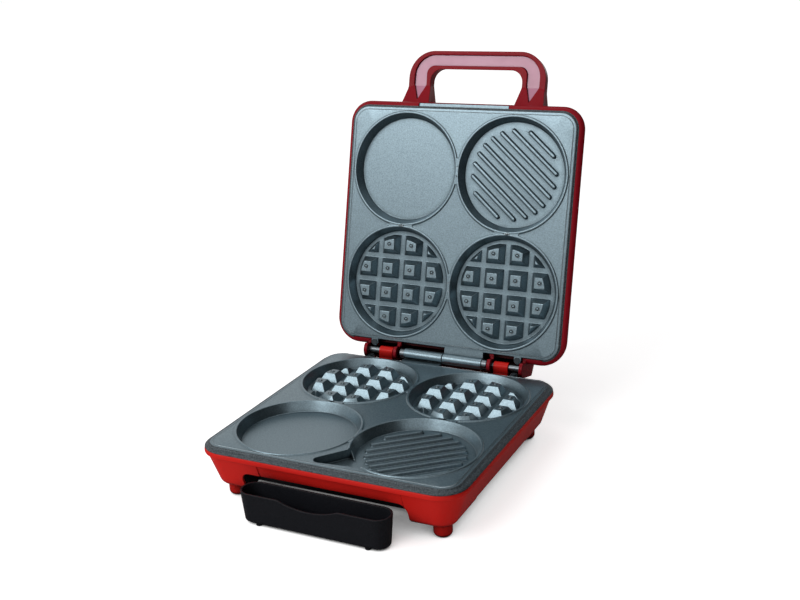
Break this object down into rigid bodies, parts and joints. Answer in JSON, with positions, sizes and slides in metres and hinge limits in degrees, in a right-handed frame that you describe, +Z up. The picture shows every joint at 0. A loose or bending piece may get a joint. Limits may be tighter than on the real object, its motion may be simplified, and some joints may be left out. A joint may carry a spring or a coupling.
{
  "type": "snack cooker with hinged lid",
  "caption": "Table-top snack cooker, lid swung open: red casings, cast plates with round plain, ribbed and waffle wells, loop handle and a pull-out drip tray.",
  "frame": {"origin": "on the table, midway between the four feet", "axes": "+X to the user's right, +Y from the front to the hinge at the back, +Z up"},
  "size_m": [0.2428, 0.3845, 0.3379],
  "materials": {
    "casing_red": "smooth gloss, deep red",
    "handle_inlay": "glossy flat inlay, pale red",
    "cast_coated": "cast, grey non-stick coat, satin",
    "black_plastic": "fine matt",
    "steel": "plated",
    "heater_steel": "heat-darkened tube",
    "reflector_sheet": "bright rolled sheet",
    "lead_sleeve": "woven heat sleeve",
    "fuse_body": "plain ceramic colour",
    "gland_black": "matt",
    "power_lens": "clear tinted red",
    "ready_lens": "clear tinted green"
  },
  "bodies": {
    "base": {"base_casing": "casing_red", "lower_plate": "cast_coated", "base_cover": "black_plastic", "terminal_block": "black_plastic", "cover_screws": "steel", "lower_plate_screws": "steel", "lower_reflector_screws": "steel", "left_hinge_pin": "steel", "right_hinge_pin": "steel", "hinge_centre_pin": "steel", "hinge_pin_cap": "steel", "thermostat": "steel", "lower_element": "heater_steel", "lower_reflector": "reflector_sheet", "left_element_lead": "lead_sleeve", "right_element_lead": "lead_sleeve", "live_lead": "lead_sleeve", "neutral_lead": "lead_sleeve", "thermal_fuse": "fuse_body", "cord_gland": "gland_black"},
    "lid": {"lid_casing": "casing_red", "handle_face": "handle_inlay", "upper_plate": "cast_coated", "upper_plate_screws": "steel", "upper_element": "heater_steel", "upper_reflector": "reflector_sheet", "upper_reflector_screws": "steel", "power_lamp_lens": "power_lens", "ready_lamp_lens": "ready_lens"},
    "tray": {"drip_tray": "black_plastic"}
  },
  "joints": [
    {"name": "lid_hinge", "type": "hinge", "parent": "base", "child": "lid", "pos_m": [0, 0.1262, 0.0542], "axis": [1, 0, 0], "range_deg": [0, 104.6]},
    {"name": "tray_slide", "type": "slide", "parent": "base", "child": "tray", "axis": [0, -1, 0], "range_m": [-0.028, 0.035]}
  ]
}
